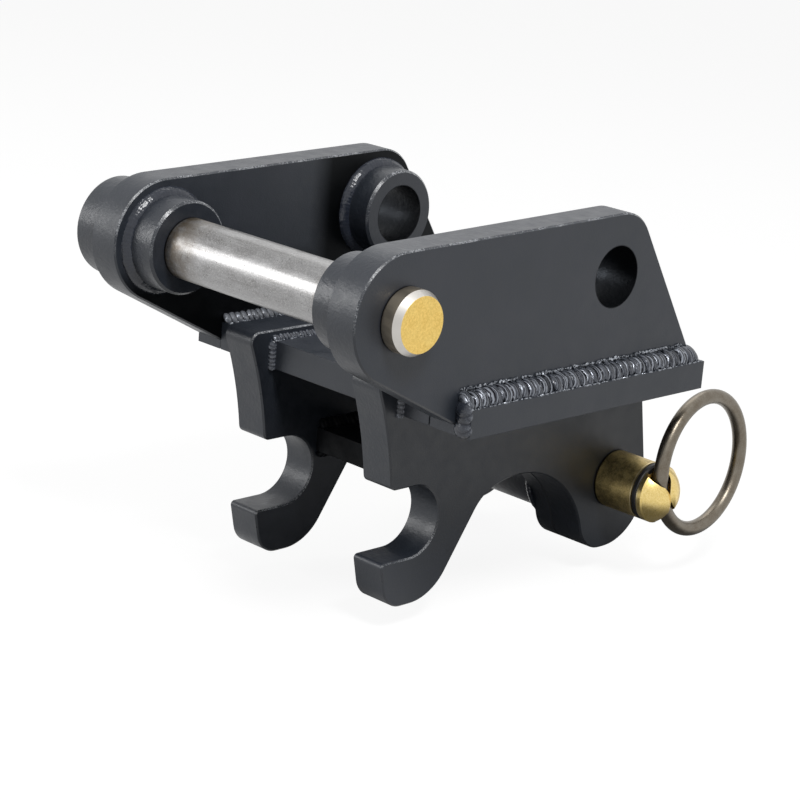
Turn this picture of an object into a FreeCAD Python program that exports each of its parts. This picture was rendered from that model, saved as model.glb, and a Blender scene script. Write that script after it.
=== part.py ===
# Quick coupler hitch for a mini excavator: a welded frame that hangs on the dipper by two 30 mm pins,
# with two C-hooks for the front pin of a bucket and a withdrawable lock pin for its rear pin holes.
# X runs along the pins, Y to the rear and Z up; the origin is on the hitch pin's axis at mid-width.
import FreeCAD, Part
import math
import os

V = FreeCAD.Vector
ORIGIN = V(0, 0, 0)
ALONG_X = V(1, 0, 0)
ALONG_Y = V(0, 1, 0)
ALONG_Z = V(0, 0, 1)
SIDES = {"right": 1, "left": -1}

# Pins and their bores
PIN_RADIUS = 15.0
BORE_CLEARANCE = 0.05
BORE_SPACING = 141.3
BORE_RISE = 3.1

# Ears, the two upright side plates
EAR_GAP = 146.6
EAR_THICKNESS = 18.0
EAR_END_RADIUS = 30.4
EAR_TOP_SLOPE = 1.4
EAR_REAR_LEAN = 32.6
EAR_REAR_ROUND = 22.0
EAR_TOE_HEIGHT = 4.5

# Deck plate between the ears and the ledge bars outside them
DECK_TOP = -45.5
DECK_THICKNESS = 14.0
DECK_FRONT = 39.5
EAR_TAIL = 65.2
LEDGE_WIDTH = 8.2
LEFT_LEDGE_SETBACK = 9.0

# Bosses around the bores
BOSS_WALL = 7.95
FRONT_BOSS_LENGTH = 17.8
REAR_BOSS_LENGTH = 17.0
OUTER_BOSS_WALL = 9.45
OUTER_BOSS_LENGTH = 20.0
BOSS_CHAMFER = 1.2

# Hook plates, each a C-hook in front, an arch and a lock pin lobe behind
HOOK_OUTER_X = 54.7
HOOK_THICKNESS = 19.7
HOOK_TOP = -40.5
HOOK_FRONT = 23.0
HOOK_TAB_REAR = 106.0
NOSE_FRONT = 38.0
NOSE_SAG = 2.2
SEAT_Y = 53.5
SEAT_Z = -115.0
SEAT_RADIUS = 18.0
TOE_FRONT = 34.7
TOE_LEAN = 5.5
HEEL_Y = 57.0
HEEL_RADIUS = 26.5
HEEL_END_ANGLE = -33.0
STAND_Z = -157.0
ARCH_FRONT = 74.7
LOBE_FLAT = 19.2
HOOK_OVERHANG = 8.0
HOOK_CORNER_ROUND = 5.0
NOSE_ROUND = 4.0
TOE_TIP_ROUND = 2.0
TOE_ROUND = 13.0
ARCH_FRONT_ROUND = 25.0
ARCH_REAR_ROUND = 18.0

# Lock pin lobes, the doubler inside the right one and the tube that guides the lock pin
LOCK_INSET = 14.0
LOCK_Z = -118.5
LOBE_RADIUS = 28.0
LOBE_RISE = 1.1
LOBE_SETBACK = 1.0
DOUBLER_THICKNESS = 12.0
DOUBLER_REACH = 42.5
DOUBLER_TOP = -84.0
TUBE_WALL = 12.45

# Spreader bar behind the hook seats
SPREADER_GAP = 2.0
SPREADER_DEPTH = 30.0
SPREADER_TOP = -95.5
SPREADER_THICKNESS = 12.0

# Hitch pin and the set screw that holds it in the left outer boss
PIN_STANDOUT = 10.8
PIN_RECESS = 1.5
PIN_CHAMFER_LENGTH = 3.5
PIN_CHAMFER_DEPTH = 2.1
SCREW_RADIUS = 5.0
SCREW_SINK = 0.8
SCREW_POINT_GAP = 0.05
SCREW_SOCKET_WIDTH = 5.0
SCREW_SOCKET_DEPTH = 4.0

# Lock pin, its O-ring and its pull ring
LOCK_FAR_STANDOUT = 28.0
LOCK_NOSE_CHAMFER = 3.0
CLIP_HOLE_RADIUS = 4.0
CLIP_HOLE_INSET = 9.0
LOCK_RING_OVERHANG = 33.3
LOCK_DOME_LENGTH = 8.4
LOCK_RIM_BREAK = 0.7
LOCK_ROLL = 20.0
O_RING_THICKNESS = 3.5
O_RING_INSET = 2.7
O_RING_FROM_HOLE = 0.3
WIRE_RADIUS = 3.8
RING_RADIUS = 35.0
RING_HOLE_RADIUS = 5.1
RING_MOUTH_DEPTH = 4.5
RING_MOUTH_ANGLE = 20.0
RING_SHIFT = 1.2
RING_REST_SWING = -4.0
FACE_GROOVE_WIDTH = 5.4
FACE_GROOVE_DEPTH = 1.3
RING_HOLE_COVER = 1.4

# Welds, given by the legs of their fillets, and the broken edges of the plates
LEDGE_WELD_LEG = 8.0
FOOT_WELD_LEG = 8.0
TAB_WELD_LEG = 4.5
UNDER_WELD_LEG = 6.0
BOSS_WELD_LEG = 4.5
INNER_WELD_LEG = 5.0
WELD_CROWN = 0.12
WELD_END_GAP = 1.5
PLATE_EDGE_BREAK = 0.8

# Places that follow from the sizes above
DECK_REAR = BORE_SPACING + EAR_TAIL
HOOK_REAR_TOP = DECK_REAR + HOOK_OVERHANG
LOCK_Y = HOOK_REAR_TOP - LOCK_INSET
LOBE_Y = LOCK_Y - LOBE_SETBACK
ARCH_RADIUS = (LOBE_Y - LOBE_FLAT - ARCH_FRONT) / 2
ARCH_Y = ARCH_FRONT + ARCH_RADIUS
LOBE_BOTTOM = STAND_Z + LOBE_RISE
DOUBLER_FRONT = LOCK_Y - DOUBLER_REACH
EAR_INNER_X = EAR_GAP / 2
EAR_OUTER_X = EAR_INNER_X + EAR_THICKNESS
DECK_BOTTOM = DECK_TOP - DECK_THICKNESS
LEDGE_OUTER_X = EAR_OUTER_X + LEDGE_WIDTH
HOOK_INNER_X = HOOK_OUTER_X - HOOK_THICKNESS
DOUBLER_INNER_X = HOOK_INNER_X - DOUBLER_THICKNESS
BORE_RADIUS = PIN_RADIUS + BORE_CLEARANCE
BOSS_RADIUS = BORE_RADIUS + BOSS_WALL
OUTER_BOSS_RADIUS = BORE_RADIUS + OUTER_BOSS_WALL
TUBE_RADIUS = BORE_RADIUS + TUBE_WALL
REAR_BORE = (BORE_SPACING, BORE_RISE)
RING_HOLE_X = HOOK_OUTER_X + LOCK_RING_OVERHANG
LOCK_END_X = RING_HOLE_X + RING_HOLE_RADIUS + RING_HOLE_COVER
LOCK_DOME_BASE = PIN_RADIUS - LOCK_RIM_BREAK
LOCK_DOME_RADIUS = (LOCK_DOME_BASE ** 2 + LOCK_DOME_LENGTH ** 2) / (2 * LOCK_DOME_LENGTH)
LOCK_DOME_CENTRE_X = LOCK_END_X - LOCK_DOME_RADIUS
DECK_REAR_FOOT = (DECK_REAR, DECK_TOP)
LEDGE_FRONT = {1: DECK_FRONT, -1: DECK_FRONT + LEFT_LEDGE_SETBACK}
SPREADER_FRONT = SEAT_Y + SEAT_RADIUS + SPREADER_GAP

# Tolerance for finding an edge by its place, and how far a cutting tool stands past what it cuts
NEAR = 1e-4
CUTTER_MARGIN = 1.0


def point(y, z, x=0.0):
    return V(x, y, z)


def outline(start, *steps):
    """Closed face in the YZ plane; each step is (end,) for a line or (middle, end) for an arc."""
    edges = []
    here = start
    for step in steps + ((start,),):
        there = step[-1]
        if len(step) == 2:
            edges.append(Part.Arc(point(*here), point(*step[0]), point(*there)).toShape())
        elif math.dist(here, there) > NEAR:
            edges.append(Part.makeLine(point(*here), point(*there)))
        here = there
    return Part.Face(Part.Wire(edges))


def plate(face, x_near, x_far, side):
    """Extrude a YZ face across X, from x_near to x_far on the given side."""
    low = min(side * x_near, side * x_far)
    body = face.copy()
    body.translate(V(low, 0, 0))
    return body.extrude(V(abs(x_far - x_near), 0, 0))


def block(x_near, x_far, y0, y1, z0, z1, side=1):
    low = min(side * x_near, side * x_far)
    return Part.makeBox(abs(x_far - x_near), y1 - y0, z1 - z0, V(low, y0, z0))


def round_bar(radius, x0, x1, y, z):
    return Part.makeCylinder(radius, x1 - x0, V(x0, y, z), ALONG_X)


def side_bar(radius, x_near, x_far, centre, side):
    low, high = sorted((side * x_near, side * x_far))
    return round_bar(radius, low, high, *centre)


def round_corner(solid, corner, radius):
    """Round the edge along X that passes through a corner of the outline."""
    y, z = corner
    edges = [e for e in solid.Edges
             if all(math.hypot(v.Y - y, v.Z - z) < NEAR for v in e.Vertexes)]
    return solid.makeFillet(radius, edges)


def break_edges(solid):
    """Chamfer the edges of both flat faces of a plate that lies square to X."""
    edges = [e for f in solid.Faces if f.BoundBox.XLength < NEAR for e in f.Edges]
    return solid.makeChamfer(PLATE_EDGE_BREAK, edges)


def tangent_point(radius, outside, turn):
    """Where a line from an outside point touches a circle about the origin."""
    distance = math.hypot(*outside)
    angle = math.atan2(outside[1], outside[0]) + turn * math.acos(radius / distance)
    return (radius * math.cos(angle), radius * math.sin(angle))


def bead(corner, leg_a, leg_b, start, length, run):
    """Fillet weld: a corner, two legs as vectors and a crowned face, run along an edge."""
    a = corner + leg_a
    b = corner + leg_b
    crown = (a + b) * 0.5 + (leg_a + leg_b) * WELD_CROWN
    wire = Part.Wire([Part.makeLine(corner, a), Part.Arc(a, crown, b).toShape(), Part.makeLine(b, corner)])
    body = Part.Face(wire)
    body.translate(run * start)
    return body.extrude(run * length)


def ring_bead(x_face, towards, inner_radius, leg, centre):
    """Fillet weld round a boss or tube that stands on a face square to X."""
    y, z = centre
    corner = V(x_face, y, z + inner_radius)
    a = corner + V(towards * leg, 0, 0)
    b = corner + V(0, 0, leg)
    crown = (a + b) * 0.5 + (V(towards * leg, 0, 0) + V(0, 0, leg)) * WELD_CROWN
    profile = Part.Face(Part.makePolygon([corner, a, crown, b, corner]))
    return profile.revolve(V(x_face, y, z), ALONG_X, 360)


# Ear: a plate with a round front end, a slightly rising top and a rear edge that leans back to the foot
def ear(side):
    slope = math.radians(EAR_TOP_SLOPE)
    lean = math.tan(math.radians(EAR_REAR_LEAN))
    top_front = (-EAR_END_RADIUS * math.sin(slope), EAR_END_RADIUS * math.cos(slope))
    rise = (DECK_REAR - top_front[0] - (top_front[1] - DECK_TOP) * lean)
    run = rise / (1 + math.tan(slope) * lean)
    top_rear = (top_front[0] + run, top_front[1] + run * math.tan(slope))
    toe = (DECK_FRONT, DECK_BOTTOM + EAR_TOE_HEIGHT)
    belly = tangent_point(EAR_END_RADIUS, toe, -1)
    face = outline(top_front, (top_rear,), (DECK_REAR_FOOT,), ((DECK_REAR, DECK_BOTTOM),),
                   ((DECK_FRONT, DECK_BOTTOM),), (toe,), (belly,), ((-EAR_END_RADIUS, 0.0), top_front))
    body = plate(face, EAR_INNER_X, EAR_OUTER_X, side)
    body = round_corner(body, top_rear, EAR_REAR_ROUND)
    body = break_edges(body)
    for centre in ((0.0, 0.0), REAR_BORE):
        bore = side_bar(BORE_RADIUS, EAR_INNER_X, EAR_OUTER_X, centre, side)
        body = body.cut(bore)
    return body


# Deck: a plate between the ears with two slots open to the front for the tabs of the hook plates
def deck_plate():
    body = block(-EAR_INNER_X, EAR_INNER_X, DECK_FRONT, DECK_REAR, DECK_BOTTOM, DECK_TOP)
    for side in SIDES.values():
        slot = block(HOOK_INNER_X, HOOK_OUTER_X, DECK_FRONT, HOOK_TAB_REAR, DECK_BOTTOM, DECK_TOP, side)
        body = body.cut(slot)
    return body


def ledge_bar(side):
    return block(EAR_OUTER_X, LEDGE_OUTER_X, LEDGE_FRONT[side], DECK_REAR, DECK_BOTTOM, DECK_TOP, side)


# Boss: a turned ring on an ear round its bore, with its free end chamfered
def boss(radius, x_root, x_end, centre, side):
    body = side_bar(radius, x_root, x_end, centre, side)
    rim = [e for e in body.Edges if abs(e.BoundBox.XMax - side * x_end) < NEAR and e.BoundBox.XLength < NEAR]
    body = body.makeChamfer(BOSS_CHAMFER, rim)
    return body.cut(side_bar(BORE_RADIUS, x_root, x_end, centre, side))


def outer_boss():
    body = boss(OUTER_BOSS_RADIUS, EAR_OUTER_X, EAR_OUTER_X + OUTER_BOSS_LENGTH, (0.0, 0.0), -1)
    drill = Part.makeCylinder(SCREW_RADIUS, OUTER_BOSS_RADIUS, screw_axis_at(0.0), -ALONG_Z)
    return body.cut(drill)


def screw_axis_at(depth):
    return V(-EAR_OUTER_X - OUTER_BOSS_LENGTH / 2, 0, -depth)


# Hook plate outline: tab and nose, round seat, toe, heel, arch, lobe and rear edge
def hook_face():
    nose = (NOSE_FRONT, SEAT_Z + SEAT_RADIUS)
    front_middle = ((HOOK_FRONT + NOSE_FRONT) / 2 + NOSE_SAG, (HOOK_TOP + nose[1]) / 2)
    lip = (SEAT_Y, SEAT_Z - SEAT_RADIUS)
    tip = (TOE_FRONT, SEAT_Z - SEAT_RADIUS)
    toe = (TOE_FRONT + TOE_LEAN, STAND_Z)
    heel_centre = STAND_Z + HEEL_RADIUS
    turn = math.radians(HEEL_END_ANGLE)
    half = (math.radians(-90) + turn) / 2
    heel_mid = (HEEL_Y + HEEL_RADIUS * math.cos(half), heel_centre + HEEL_RADIUS * math.sin(half))
    heel_end = (HEEL_Y + HEEL_RADIUS * math.cos(turn), heel_centre + HEEL_RADIUS * math.sin(turn))
    arch_front = arch_meets(heel_end, (-math.sin(turn), math.cos(turn)))
    arch_rear = (ARCH_Y + math.sqrt(ARCH_RADIUS ** 2 - LOBE_RISE ** 2), LOBE_BOTTOM)
    lobe_z = LOBE_BOTTOM + LOBE_RADIUS
    shoulder = (HOOK_REAR_TOP, DECK_BOTTOM)
    local = tangent_point(LOBE_RADIUS, (shoulder[0] - LOBE_Y, shoulder[1] - lobe_z), -1)
    lobe_end = (LOBE_Y + local[0], lobe_z + local[1])
    middle = (math.atan2(local[1], local[0]) - math.radians(90)) / 2
    lobe_mid = (LOBE_Y + LOBE_RADIUS * math.cos(middle), lobe_z + LOBE_RADIUS * math.sin(middle))
    face = outline(
        (HOOK_FRONT, HOOK_TOP),
        (front_middle, nose),
        ((SEAT_Y, nose[1]),),
        ((SEAT_Y + SEAT_RADIUS, SEAT_Z), lip),
        (tip,),
        (toe,),
        ((HEEL_Y, STAND_Z),),
        (heel_mid, heel_end),
        (arch_front,),
        ((ARCH_Y, STAND_Z + ARCH_RADIUS), arch_rear),
        ((LOBE_Y, LOBE_BOTTOM),),
        (lobe_mid, lobe_end),
        (shoulder,),
        ((HOOK_TAB_REAR, DECK_BOTTOM),),
        ((HOOK_TAB_REAR, HOOK_TOP),))
    corners = {
        (HOOK_FRONT, HOOK_TOP): HOOK_CORNER_ROUND,
        nose: NOSE_ROUND,
        tip: TOE_TIP_ROUND,
        toe: TOE_ROUND,
        arch_front: ARCH_FRONT_ROUND,
        arch_rear: ARCH_REAR_ROUND,
    }
    return face, corners


def arch_meets(start, direction):
    """Where the straight behind the heel runs into the arch."""
    dy = start[0] - ARCH_Y
    dz = start[1] - STAND_Z
    b = dy * direction[0] + dz * direction[1]
    c = dy * dy + dz * dz - ARCH_RADIUS ** 2
    reach = -b + math.sqrt(b * b - c)
    return (start[0] + reach * direction[0], start[1] + reach * direction[1])


def hook_blank(x_near, x_far, side):
    face, corners = hook_face()
    body = plate(face, x_near, x_far, side)
    for corner, radius in corners.items():
        body = round_corner(body, corner, radius)
    return body


def hook_plate(side):
    body = break_edges(hook_blank(HOOK_INNER_X, HOOK_OUTER_X, side))
    return body.cut(side_bar(BORE_RADIUS, HOOK_INNER_X, HOOK_OUTER_X, (LOCK_Y, LOCK_Z), side))


def lobe_doubler():
    body = hook_blank(DOUBLER_INNER_X, HOOK_INNER_X, 1)
    window = block(DOUBLER_INNER_X, HOOK_INNER_X, DOUBLER_FRONT, LOCK_Y + 2 * LOBE_RADIUS,
                   STAND_Z, DOUBLER_TOP)
    body = break_edges(body.common(window).Solids[0])
    return body.cut(round_bar(BORE_RADIUS, DOUBLER_INNER_X, HOOK_INNER_X, LOCK_Y, LOCK_Z))


def lock_pin_tube():
    body = round_bar(TUBE_RADIUS, -HOOK_INNER_X, DOUBLER_INNER_X, LOCK_Y, LOCK_Z)
    return body.cut(round_bar(BORE_RADIUS, -HOOK_INNER_X, DOUBLER_INNER_X, LOCK_Y, LOCK_Z))


def spreader_bar():
    return block(-HOOK_INNER_X, HOOK_INNER_X, SPREADER_FRONT, SPREADER_FRONT + SPREADER_DEPTH,
                 SPREADER_TOP - SPREADER_THICKNESS, SPREADER_TOP)


# Hitch pin: plain ground bar, chamfered at the right end, flush inside the left outer boss
def hitch_pin():
    left = -(EAR_OUTER_X + OUTER_BOSS_LENGTH - PIN_RECESS)
    right = EAR_OUTER_X + PIN_STANDOUT
    body = round_bar(PIN_RADIUS, left, right - PIN_CHAMFER_LENGTH, 0, 0)
    nose = Part.makeCone(PIN_RADIUS, PIN_RADIUS - PIN_CHAMFER_DEPTH, PIN_CHAMFER_LENGTH,
                         V(right - PIN_CHAMFER_LENGTH, 0, 0), ALONG_X)
    return body.fuse(nose).removeSplitter()


def pin_set_screw():
    length = OUTER_BOSS_RADIUS - PIN_RADIUS - SCREW_POINT_GAP - SCREW_SINK
    body = Part.makeCylinder(SCREW_RADIUS, length, screw_axis_at(PIN_RADIUS + SCREW_POINT_GAP), -ALONG_Z)
    foot = screw_axis_at(PIN_RADIUS + SCREW_POINT_GAP + length)
    reach = SCREW_SOCKET_WIDTH / math.sqrt(3)
    corners = [foot + V(reach * math.cos(k * math.pi / 3), reach * math.sin(k * math.pi / 3), 0)
               for k in range(7)]
    socket = Part.Face(Part.makePolygon(corners)).extrude(ALONG_Z * SCREW_SOCKET_DEPTH)
    return body.cut(socket)


# Directions in the lock pin's own frame, rolled about its axis
ROLL = math.radians(LOCK_ROLL)
HOLE_AXIS = V(0, -math.sin(ROLL), math.cos(ROLL))
REARWARD = V(0, math.cos(ROLL), math.sin(ROLL))
RING_HOLE_CENTRE = V(RING_HOLE_X, LOCK_Y, LOCK_Z)


def lock_pin():
    left = -(HOOK_OUTER_X + LOCK_FAR_STANDOUT)
    dome_x = LOCK_END_X - LOCK_DOME_LENGTH
    middle = math.asin(LOCK_DOME_BASE / LOCK_DOME_RADIUS) / 2
    shoulder = V(LOCK_DOME_CENTRE_X, 0, 0) + V(math.cos(middle), 0, math.sin(middle)) * LOCK_DOME_RADIUS
    half = Part.Wire([
        Part.makeLine(V(left, 0, 0), V(left, 0, PIN_RADIUS - LOCK_NOSE_CHAMFER)),
        Part.makeLine(V(left, 0, PIN_RADIUS - LOCK_NOSE_CHAMFER), V(left + LOCK_NOSE_CHAMFER, 0, PIN_RADIUS)),
        Part.makeLine(V(left + LOCK_NOSE_CHAMFER, 0, PIN_RADIUS), V(dome_x - LOCK_RIM_BREAK, 0, PIN_RADIUS)),
        Part.makeLine(V(dome_x - LOCK_RIM_BREAK, 0, PIN_RADIUS), V(dome_x, 0, LOCK_DOME_BASE)),
        Part.Arc(V(dome_x, 0, LOCK_DOME_BASE), shoulder, V(LOCK_END_X, 0, 0)).toShape(),
        Part.makeLine(V(LOCK_END_X, 0, 0), V(left, 0, 0))])
    body = Part.Face(half).revolve(ORIGIN, ALONG_X, 360)
    body.translate(V(0, LOCK_Y, LOCK_Z))
    body = body.cut(o_ring_band(PIN_RADIUS + CUTTER_MARGIN).cut(o_ring_band(PIN_RADIUS - O_RING_INSET)))
    body = body.cut(cross_hole(RING_HOLE_RADIUS, RING_HOLE_X)).cut(ring_mouth(1)).cut(ring_mouth(-1))
    body = body.cut(cross_hole(CLIP_HOLE_RADIUS, left + CLIP_HOLE_INSET))
    return body.cut(face_groove())


def cross_hole(radius, x):
    half = PIN_RADIUS + CUTTER_MARGIN
    return Part.makeCylinder(radius, 2 * half, V(x, LOCK_Y, LOCK_Z) - HOLE_AXIS * half, HOLE_AXIS)


def ring_mouth(way):
    """Flare at one end of the ring's hole, which lets the curved wire through and lets it swing."""
    depth = RING_MOUTH_DEPTH + CUTTER_MARGIN
    wide = RING_HOLE_RADIUS + depth * math.tan(math.radians(RING_MOUTH_ANGLE))
    start = RING_HOLE_CENTRE + HOLE_AXIS * (way * (PIN_RADIUS - RING_MOUTH_DEPTH))
    return Part.makeCone(RING_HOLE_RADIUS, wide, depth, start, HOLE_AXIS * way)


def face_groove():
    """V groove over the domed end, in line with the ring's hole and as deep all the way."""
    centre = V(LOCK_DOME_CENTRE_X, LOCK_Y, LOCK_Z)
    apex = centre + ALONG_X * (LOCK_DOME_RADIUS - FACE_GROOVE_DEPTH)
    mouth = apex + ALONG_X * (2 * FACE_GROOVE_DEPTH)
    corners = [apex, mouth - REARWARD * FACE_GROOVE_WIDTH, mouth + REARWARD * FACE_GROOVE_WIDTH, apex]
    face = Part.Face(Part.makePolygon(corners))
    sweep = math.degrees(math.asin(LOCK_DOME_BASE / LOCK_DOME_RADIUS))
    face.rotate(centre, REARWARD, -sweep)
    return face.revolve(centre, REARWARD, 2 * sweep)


def o_ring_band(radius):
    start = RING_HOLE_X - RING_HOLE_RADIUS - O_RING_FROM_HOLE - O_RING_THICKNESS
    return round_bar(radius, start, start + O_RING_THICKNESS, LOCK_Y, LOCK_Z)


def o_ring():
    outer = o_ring_band(PIN_RADIUS)
    rims = [e for e in outer.Edges if e.BoundBox.XLength < NEAR]
    return outer.makeChamfer(O_RING_THICKNESS / 4, rims).cut(o_ring_band(PIN_RADIUS - O_RING_INSET))


def pull_ring():
    """Round wire ring through the cross hole of the lock pin, folded back along the hook plate."""
    centre = RING_HOLE_CENTRE + REARWARD * (RING_RADIUS - RING_SHIFT)
    body = Part.makeTorus(RING_RADIUS, WIRE_RADIUS, centre, ALONG_X)
    body.rotate(RING_HOLE_CENTRE, HOLE_AXIS, -RING_REST_SWING)
    return body


# Welds
def ledge_weld(side):
    front = LEDGE_FRONT[side]
    return bead(V(side * EAR_OUTER_X, 0, DECK_TOP), V(side * LEDGE_WIDTH, 0, 0), V(0, 0, LEDGE_WELD_LEG),
                front, DECK_REAR - WELD_END_GAP - front, ALONG_Y)


def foot_weld(side):
    return bead(V(side * EAR_INNER_X, 0, DECK_TOP), V(-side * FOOT_WELD_LEG, 0, 0), V(0, 0, FOOT_WELD_LEG),
                DECK_FRONT + WELD_END_GAP, DECK_REAR - DECK_FRONT - 2 * WELD_END_GAP, ALONG_Y)


def tab_welds(side):
    """Beads along both top sides of a hook plate's tab and up the deck's front edge beside it."""
    length = HOOK_TAB_REAR - DECK_FRONT - WELD_END_GAP
    beads = []
    for x, away in ((HOOK_INNER_X, -1), (HOOK_OUTER_X, 1)):
        edge = V(side * x, 0, DECK_TOP)
        leg = V(side * away * TAB_WELD_LEG, 0, 0)
        beads.append(bead(edge, leg, V(0, 0, TAB_WELD_LEG), DECK_FRONT, length, ALONG_Y))
        corner = V(side * x, DECK_FRONT, 0)
        beads.append(bead(corner, leg, V(0, -TAB_WELD_LEG, 0), DECK_BOTTOM, DECK_THICKNESS, ALONG_Z))
    return Part.makeCompound(beads)


def under_welds(side):
    """Beads under the deck along both sides of a hook plate."""
    start = HOOK_TAB_REAR + WELD_END_GAP
    beads = []
    for x, away in ((HOOK_INNER_X, -1), (HOOK_OUTER_X, 1)):
        beads.append(bead(V(side * x, 0, DECK_BOTTOM), V(side * away * UNDER_WELD_LEG, 0, 0),
                          V(0, 0, -UNDER_WELD_LEG), start, DECK_REAR - WELD_END_GAP - start, ALONG_Y))
    return Part.makeCompound(beads)


def boss_welds(side):
    beads = [ring_bead(side * EAR_INNER_X, -side, BOSS_RADIUS, BOSS_WELD_LEG, centre)
             for centre in ((0.0, 0.0), REAR_BORE)]
    return Part.makeCompound(beads)


def tube_welds():
    return Part.makeCompound([ring_bead(x, towards, TUBE_RADIUS, INNER_WELD_LEG, (LOCK_Y, LOCK_Z))
                              for x, towards in ((DOUBLER_INNER_X, -1), (-HOOK_INNER_X, 1))])


def spreader_welds():
    beads = []
    for side in SIDES.values():
        for z, up in ((SPREADER_TOP, 1), (SPREADER_TOP - SPREADER_THICKNESS, -1)):
            beads.append(bead(V(side * HOOK_INNER_X, 0, z), V(-side * INNER_WELD_LEG, 0, 0),
                              V(0, 0, up * INNER_WELD_LEG), SPREADER_FRONT + WELD_END_GAP,
                              SPREADER_DEPTH - 2 * WELD_END_GAP, ALONG_Y))
    return Part.makeCompound(beads)


def build():
    parts = {
        "deck_plate": deck_plate(),
        "outer_boss_left": outer_boss(),
        "lobe_doubler_right": lobe_doubler(),
        "lock_pin_tube": lock_pin_tube(),
        "spreader_bar": spreader_bar(),
        "hitch_pin": hitch_pin(),
        "pin_set_screw": pin_set_screw(),
        "lock_pin": lock_pin(),
        "lock_pin_o_ring": o_ring(),
        "pull_ring": pull_ring(),
        "tube_welds": tube_welds(),
        "spreader_welds": spreader_welds(),
        "outer_boss_weld": ring_bead(-EAR_OUTER_X, -1, OUTER_BOSS_RADIUS, BOSS_WELD_LEG, (0.0, 0.0)),
    }
    for name, side in SIDES.items():
        parts["ear_" + name] = ear(side)
        parts["ledge_bar_" + name] = ledge_bar(side)
        parts["front_boss_" + name] = boss(BOSS_RADIUS, EAR_INNER_X, EAR_INNER_X - FRONT_BOSS_LENGTH,
                                           (0.0, 0.0), side)
        parts["rear_boss_" + name] = boss(BOSS_RADIUS, EAR_INNER_X, EAR_INNER_X - REAR_BOSS_LENGTH,
                                          REAR_BORE, side)
        parts["hook_plate_" + name] = hook_plate(side)
        parts["ledge_weld_" + name] = ledge_weld(side)
        parts["foot_weld_" + name] = foot_weld(side)
        parts["tab_welds_" + name] = tab_welds(side)
        parts["under_welds_" + name] = under_welds(side)
        parts["boss_welds_" + name] = boss_welds(side)
    return parts


os.makedirs("parts", exist_ok=True)
for node, shape in build().items():
    if not shape.isValid():
        print("not valid:", node)
    shape.exportStep("parts/" + node + ".step")
    box = shape.BoundBox
    print(f"{node:22s} {len(shape.Solids)} solids  {shape.Volume / 1000:8.2f} cm3  "
          f"X {box.XMin:7.1f} {box.XMax:7.1f}  Y {box.YMin:7.1f} {box.YMax:7.1f}  "
          f"Z {box.ZMin:7.1f} {box.ZMax:7.1f}")
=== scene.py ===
import math
import random

import bpy
from mathutils import Euler, Matrix, Vector


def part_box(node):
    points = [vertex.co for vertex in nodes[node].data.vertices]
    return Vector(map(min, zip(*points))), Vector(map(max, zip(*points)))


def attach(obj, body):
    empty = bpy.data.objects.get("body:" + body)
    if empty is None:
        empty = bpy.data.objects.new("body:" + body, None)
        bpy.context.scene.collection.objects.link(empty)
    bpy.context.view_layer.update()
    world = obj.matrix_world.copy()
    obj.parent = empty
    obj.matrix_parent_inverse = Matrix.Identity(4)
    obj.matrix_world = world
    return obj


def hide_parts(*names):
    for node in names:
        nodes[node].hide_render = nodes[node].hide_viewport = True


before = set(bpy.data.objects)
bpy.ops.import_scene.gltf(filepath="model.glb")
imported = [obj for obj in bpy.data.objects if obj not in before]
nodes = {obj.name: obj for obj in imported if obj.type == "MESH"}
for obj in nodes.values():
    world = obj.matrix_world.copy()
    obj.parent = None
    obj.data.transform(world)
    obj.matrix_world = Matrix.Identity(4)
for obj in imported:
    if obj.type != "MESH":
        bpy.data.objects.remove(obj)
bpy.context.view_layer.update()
bpy.ops.object.select_all(action="DESELECT")

# The photograph's view: the hitch is seen from its front right and a little above, with the picture
# tilted a few degrees. The camera stands about 1.1 m away with a long lens and no shift.
AZIMUTH = 44.19
ELEVATION = 16.34
ROLL = 4.61
CAMERA_PLACE = (0.79755, -0.72547, 0.26033)
LENS = 108.186

azimuth, elevation, roll = (math.radians(a) for a in (AZIMUTH, ELEVATION, ROLL))
back = Vector((math.sin(azimuth) * math.cos(elevation), -math.cos(azimuth) * math.cos(elevation),
               math.sin(elevation)))
level = Vector((math.cos(azimuth), math.sin(azimuth), 0))
upward = back.cross(level)
right = level * math.cos(roll) + upward * math.sin(roll)
up = upward * math.cos(roll) - level * math.sin(roll)
camera_data = bpy.data.cameras.new("camera")
camera_data.lens = LENS
camera_data.sensor_width = 36
camera_data.clip_start = 0.05
camera = bpy.data.objects.new("camera", camera_data)
bpy.context.collection.objects.link(camera)
camera.matrix_world = Matrix.Translation(CAMERA_PLACE) @ Matrix((right, up, back)).transposed().to_4x4()
bpy.context.scene.camera = camera
bpy.context.scene.view_settings.view_transform = "Standard"

# The room: a pale floor, just low enough for the ring to swing clear of it, white all round, a soft
# box to the front left that the round surfaces mirror as a streak, a smaller one high on the right,
# and a weak one overhead.
FLOOR_SIZE = 12
FLOOR_DROP = 0.012
FLOOR_COLOUR = (0.2, 0.2, 0.2, 1)
FLOOR_LIFT = 0.9
SHADE_PATCHES = (((0.0, 0.11), (0.05, 0.085)), ((0.07, 0.195), (0.075, 0.085)))
SHADE_EDGE = (0.7, 1.5)
SHADE_DEPTH = 0.03
ROOM_FILL = 0.17
WHITE = (1, 1, 1, 1)
LIGHTS_AIM = Vector((0, 0.08, -0.05))

# Each soft box has its name, place, size and watts.
SOFT_BOXES = (
    ("front_left_box", (-0.95, -1.05, 0.42), (0.6, 0.6), 8),
    ("high_right_box", (0.75, -0.25, 1.05), (0.35, 0.35), 10),
    ("top_box", (-0.55, 0.75, 1.1), (0.9, 0.9), 3.6),
)


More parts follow.
